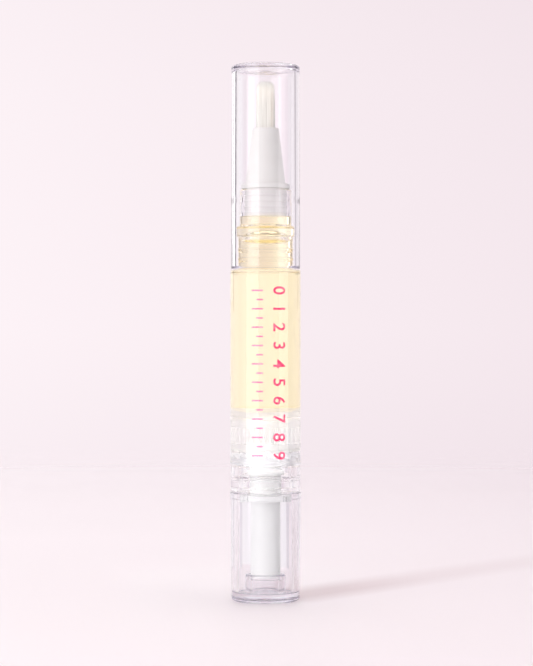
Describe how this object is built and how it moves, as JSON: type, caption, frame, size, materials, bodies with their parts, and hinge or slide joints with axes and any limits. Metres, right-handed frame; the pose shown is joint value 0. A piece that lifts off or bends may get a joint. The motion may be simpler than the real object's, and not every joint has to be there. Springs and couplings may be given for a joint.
{
  "type": "cosmetic twist pen",
  "caption": "Clear twist-up pen for cuticle oil: brush tip under a pull-off cap, oil barrel with a piston, and a turning knob that it stands on.",
  "frame": {"origin": "centre of the knob's flat foot, on the surface that the pen stands on", "axes": "+Z along the pen, from the knob to the cap; -Y faces the camera"},
  "size_m": [0.0174, 0.0174, 0.13],
  "materials": {
    "clear_shell": "clear polished copolyester",
    "white_moulding": "white polypropylene, satin",
    "bristle": "natural nylon filament",
    "natural_moulding": "natural polypropylene, slightly cloudy",
    "acetal": "natural acetal",
    "oil": "pale golden oil"
  },
  "bodies": {
    "barrel": {"barrel": "clear_shell", "collar": "clear_shell", "thread_insert": "natural_moulding", "applicator": "white_moulding", "feed_tube": "natural_moulding", "bristles": "bristle", "oil": "oil"},
    "cap": {"cap": "clear_shell"},
    "knob": {"knob": "clear_shell", "drive_tube": "white_moulding", "ratchet_ring": "acetal"},
    "rod": {"screw_rod": "acetal"},
    "piston": {"piston": "natural_moulding"}
  },
  "joints": [
    {"name": "cap_pull", "type": "slide", "parent": "barrel", "child": "cap", "axis": [0, 0, 1], "range_m": [0, 0.05]},
    {"name": "knob_turn", "type": "hinge", "parent": "barrel", "child": "knob", "pos_m": [0, 0, 0.013], "axis": [0, 0, 1], "range_deg": [0, 5040]},
    {"name": "rod_climb", "type": "slide", "parent": "knob", "child": "rod", "axis": [0, 0, 1], "range_m": [0, 0.028]},
    {"name": "piston_rise", "type": "slide", "parent": "barrel", "child": "piston", "axis": [0, 0, 1], "range_m": [0, 0.028], "deforming": ["oil"]}
  ],
  "couplings": [
    {"joint": "rod_climb", "follows": "knob_turn", "m_per_rad": 0.0003183},
    {"joint": "piston_rise", "follows": "knob_turn", "m_per_rad": 0.0003183}
  ]
}
